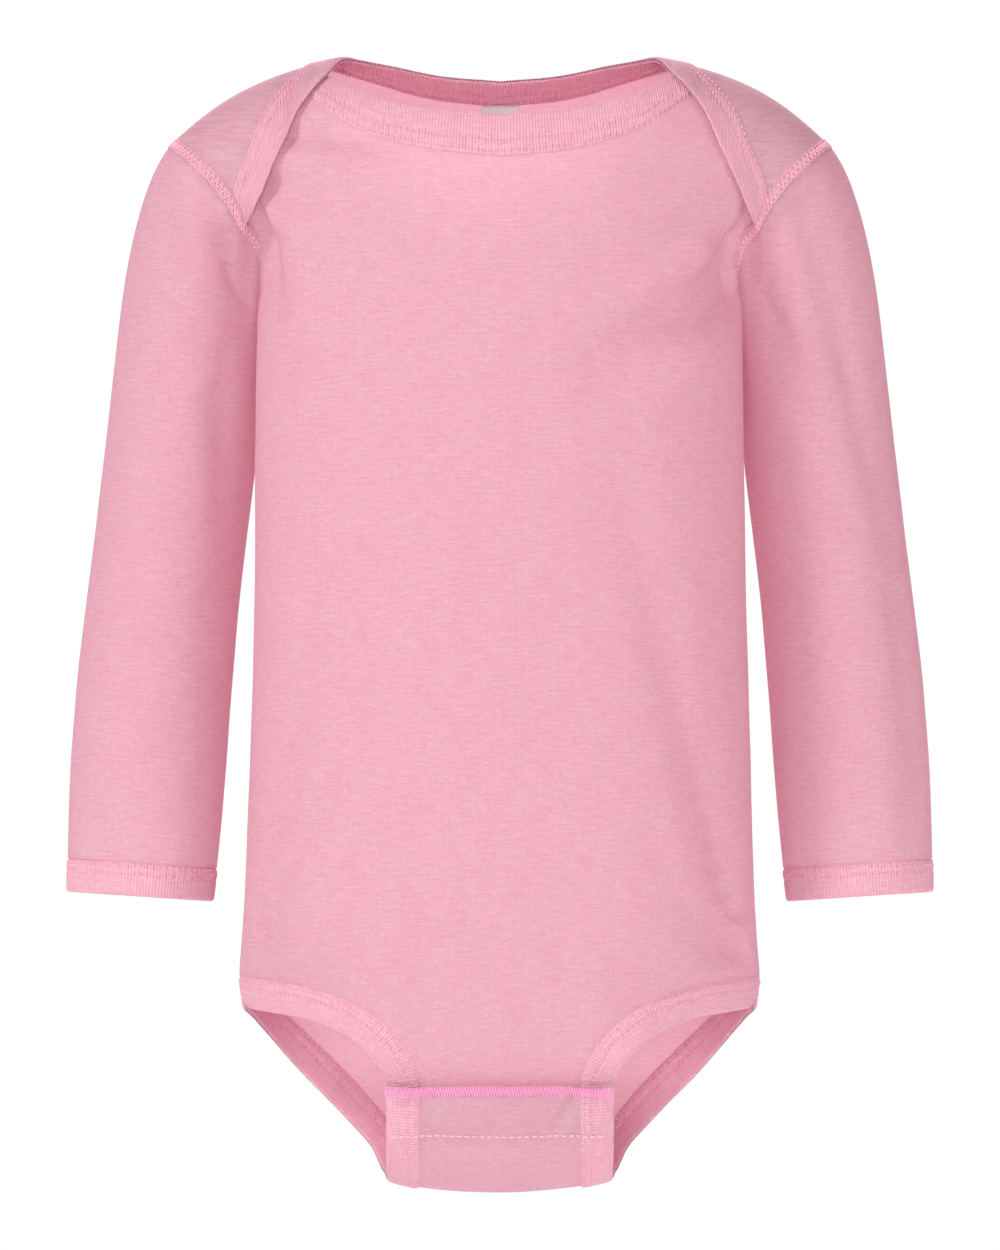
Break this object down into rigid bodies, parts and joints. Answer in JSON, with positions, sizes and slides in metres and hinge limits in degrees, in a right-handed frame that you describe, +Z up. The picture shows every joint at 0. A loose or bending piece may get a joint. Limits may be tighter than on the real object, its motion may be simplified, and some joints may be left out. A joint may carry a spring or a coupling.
{
  "type": "baby onesie",
  "caption": "Long-sleeved baby bodysuit in pink jersey with lap shoulders, ribbed bindings and a snapped crotch flap, shown filled out as worn.",
  "frame": {"origin": "between the shoulders, at the height of the neck points, where a wearer holds the garment up", "axes": "+Z up along the body, -Y toward the front, +X toward the wearer's left"},
  "size_m": [0.3092, 0.1223, 0.4013],
  "materials": {
    "jersey": "fine single jersey, heathered pink",
    "rib": "fine ribbed knit, heathered pink",
    "label": "smooth woven white tape",
    "snap": "matt pink"
  },
  "bodies": {
    "root": {"front": "jersey", "back": "jersey", "front_neck_binding": "rib", "back_neck_binding": "rib", "left_sleeve": "jersey", "right_sleeve": "jersey", "left_cuff": "rib", "right_cuff": "rib", "left_leg_binding": "rib", "right_leg_binding": "rib", "neck_label": "label", "right_snap": "snap", "middle_snap": "snap", "left_snap": "snap"}
  },
  "joints": []
}
